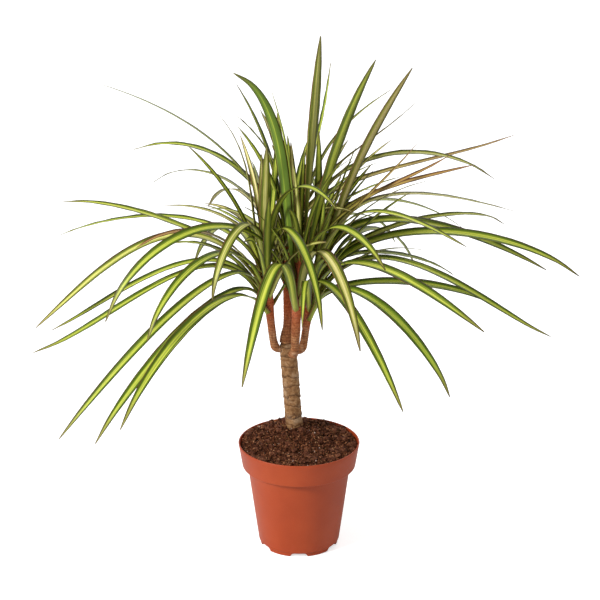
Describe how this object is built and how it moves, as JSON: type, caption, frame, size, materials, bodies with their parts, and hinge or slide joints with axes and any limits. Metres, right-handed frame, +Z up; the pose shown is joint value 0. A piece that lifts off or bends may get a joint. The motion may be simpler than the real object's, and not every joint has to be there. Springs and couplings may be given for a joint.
{
  "type": "potted dracaena marginata",
  "caption": "Young dragon tree with a bare cane, branching shoots and crowns of long narrow striped leaves, in a round terracotta-coloured plastic nursery pot.",
  "frame": {"origin": "centre of the pot's foot, on the surface that the pot stands on", "axes": "+Z up along the pot's axis, +Y away from the viewer, +X to the viewer's right"},
  "size_m": [0.526, 0.373, 0.515],
  "materials": {
    "pot_plastic": "satin",
    "potting_mix": "matte",
    "cane_bark": "matte",
    "shoot_bark": "matte",
    "leaf_blade": "satin"
  },
  "bodies": {
    "root": {"cane": "cane_bark", "leaf_back_01": "leaf_blade", "leaf_back_02": "leaf_blade", "leaf_back_03": "leaf_blade", "leaf_back_04": "leaf_blade", "leaf_back_05": "leaf_blade", "leaf_back_06": "leaf_blade", "leaf_back_07": "leaf_blade", "leaf_back_08": "leaf_blade", "leaf_back_09": "leaf_blade", "leaf_back_10": "leaf_blade", "leaf_back_11": "leaf_blade", "leaf_back_12": "leaf_blade", "leaf_back_13": "leaf_blade", "leaf_front_01": "leaf_blade", "leaf_front_02": "leaf_blade", "leaf_front_03": "leaf_blade", "leaf_front_04": "leaf_blade", "leaf_front_05": "leaf_blade", "leaf_front_06": "leaf_blade", "leaf_front_07": "leaf_blade", "leaf_front_08": "leaf_blade", "leaf_front_09": "leaf_blade", "leaf_front_10": "leaf_blade", "leaf_front_11": "leaf_blade", "leaf_left_01": "leaf_blade", "leaf_left_02": "leaf_blade", "leaf_left_03": "leaf_blade", "leaf_left_04": "leaf_blade", "leaf_left_05": "leaf_blade", "leaf_left_06": "leaf_blade", "leaf_left_07": "leaf_blade", "leaf_left_08": "leaf_blade", "leaf_left_09": "leaf_blade", "leaf_left_10": "leaf_blade", "leaf_left_11": "leaf_blade", "leaf_left_12": "leaf_blade", "leaf_left_13": "leaf_blade", "leaf_left_14": "leaf_blade", "leaf_left_15": "leaf_blade", "leaf_left_16": "leaf_blade", "leaf_right_01": "leaf_blade", "leaf_right_02": "leaf_blade", "leaf_right_03": "leaf_blade", "leaf_right_04": "leaf_blade", "leaf_right_05": "leaf_blade", "leaf_right_06": "leaf_blade", "leaf_right_07": "leaf_blade", "leaf_right_08": "leaf_blade", "leaf_right_09": "leaf_blade", "leaf_right_10": "leaf_blade", "leaf_right_11": "leaf_blade", "leaf_right_12": "leaf_blade", "leaf_right_13": "leaf_blade", "pot": "pot_plastic", "potting_mix": "potting_mix", "shoot_back": "shoot_bark", "shoot_front": "shoot_bark", "shoot_left": "shoot_bark", "shoot_right": "shoot_bark"}
  },
  "joints": []
}
